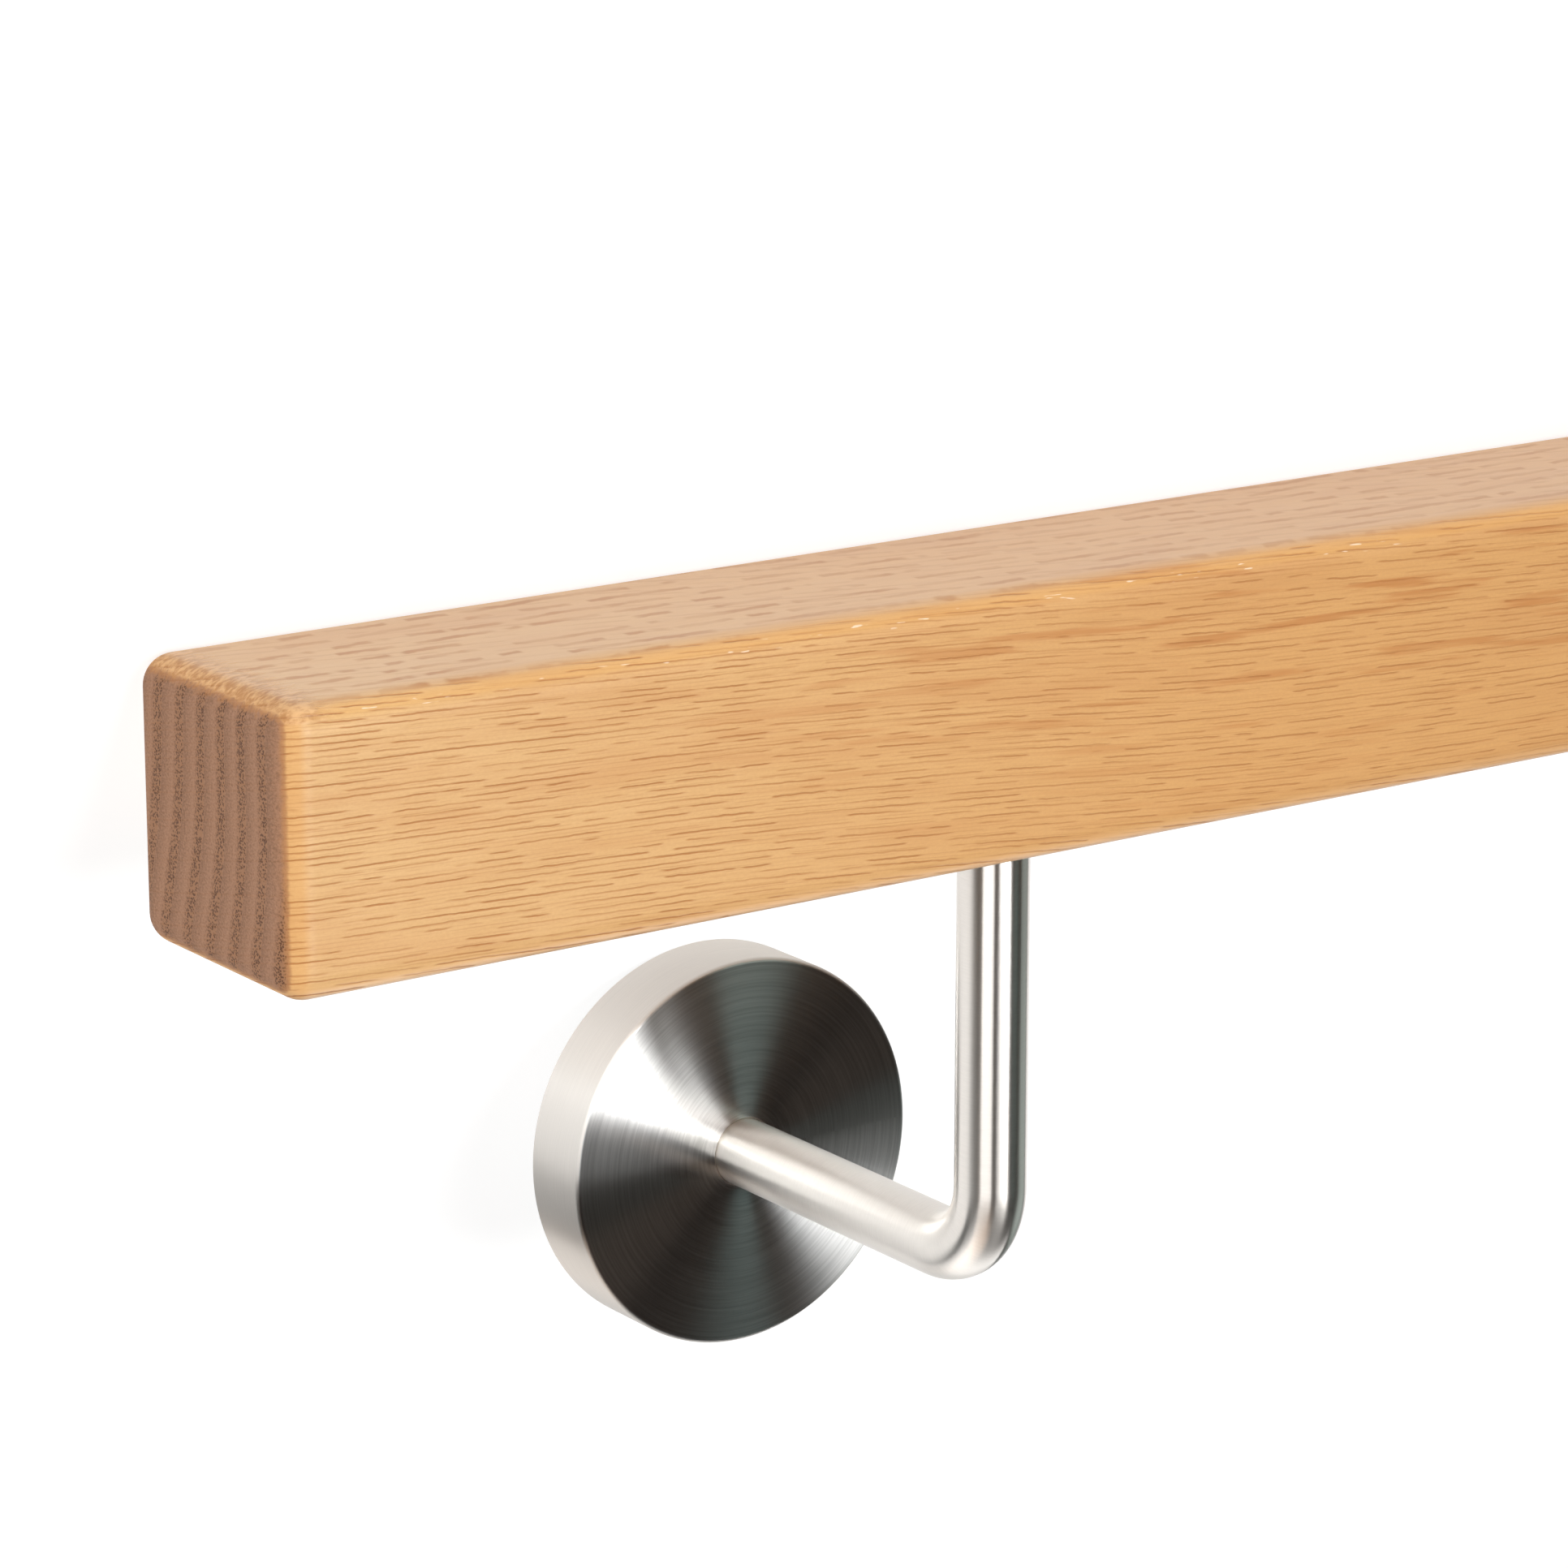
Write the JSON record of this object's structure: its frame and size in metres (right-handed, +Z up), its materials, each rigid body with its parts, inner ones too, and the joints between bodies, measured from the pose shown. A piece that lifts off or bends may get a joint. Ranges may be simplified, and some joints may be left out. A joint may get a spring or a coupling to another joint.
{
  "type": "stair handrail length",
  "caption": "Straight oak stair handrail length with rounded edges, on bent round stainless wall brackets with round cover roses.",
  "frame": {"origin": "on the floor, under the middle of the part's box as it lies on its back", "axes": "+X along the rail, +Z up from the floor; the rail's front face looks up and towards -Y, the wall faces look down and towards +Y"},
  "size_m": [1.2, 0.1864, 0.0891],
  "materials": {
    "oak": "satin lacquer",
    "brushed_stainless": "brushed along the bar",
    "turned_stainless": "brushed in circles",
    "mill_stainless": "dull mill finish",
    "zinc_plated_steel": "bright zinc plating"
  },
  "bodies": {
    "root": {"handrail": "oak", "bracket_rod_left": "brushed_stainless", "cover_rose_left": "turned_stainless", "wall_plate_left": "mill_stainless", "hanger_bolt_left": "zinc_plated_steel", "bracket_rod_right": "brushed_stainless", "cover_rose_right": "turned_stainless", "wall_plate_right": "mill_stainless", "hanger_bolt_right": "zinc_plated_steel"}
  },
  "joints": []
}
